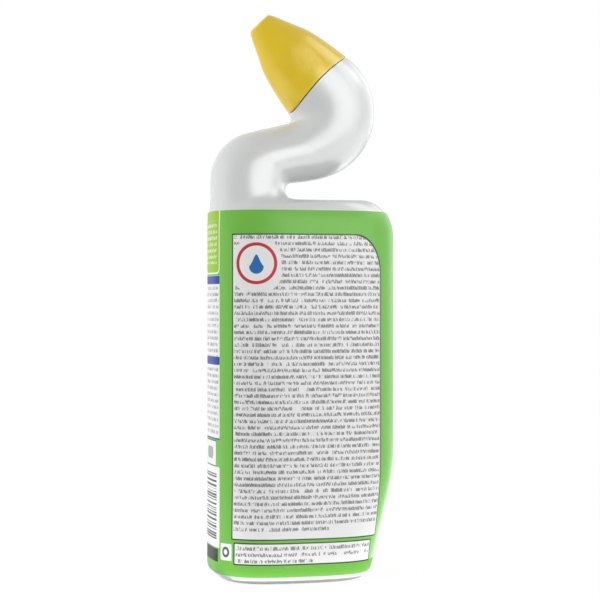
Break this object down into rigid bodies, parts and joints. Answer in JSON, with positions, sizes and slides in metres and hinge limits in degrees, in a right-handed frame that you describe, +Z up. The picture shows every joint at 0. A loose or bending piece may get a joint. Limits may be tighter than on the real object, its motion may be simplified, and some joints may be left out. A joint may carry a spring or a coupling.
{
  "type": "toilet cleaner bottle",
  "caption": "Flat oval squeeze bottle with a swan neck, a printed sleeve, cleaning gel and a conical squeeze-and-turn cap that screws off along the slanted mouth",
  "frame": {"origin": "middle of the bottle's foot, on the surface it stands on", "axes": "+Z up; X along the broad face, with the swan neck leaning so that the cap points to -X and up; the pictured broad face looks to -Y"},
  "size_m": [0.0868, 0.0622, 0.2661],
  "materials": {
    "white_polyethylene": "satin white blow-moulded polyethylene",
    "printed_film": "glossy printed shrink film in green with white panels",
    "green_gel": "clear green gel",
    "natural_polyethylene": "uncoloured soft polyethylene",
    "seal_foam": "white foamed sealing disc",
    "yellow_polypropylene": "satin yellow moulded polypropylene"
  },
  "bodies": {
    "bottle": {"bottle": "white_polyethylene", "sleeve": "printed_film", "gel": "green_gel", "nozzle": "natural_polyethylene"},
    "seal": {"cap_seal": "seal_foam"},
    "cap": {"cap": "yellow_polypropylene"}
  },
  "joints": [
    {"name": "cap_lift", "type": "slide", "parent": "bottle", "child": "seal", "axis": [-0.7071, 0, 0.7071], "range_m": [0, 0.042]},
    {"name": "cap_turn", "type": "hinge", "parent": "seal", "child": "cap", "pos_m": [0.0086, 0, 0.2335], "axis": [-0.7071, 0, 0.7071], "range_deg": [0, 450]}
  ],
  "couplings": [
    {"joint": "cap_turn", "follows": "cap_lift", "rad_per_m": 186.99}
  ]
}
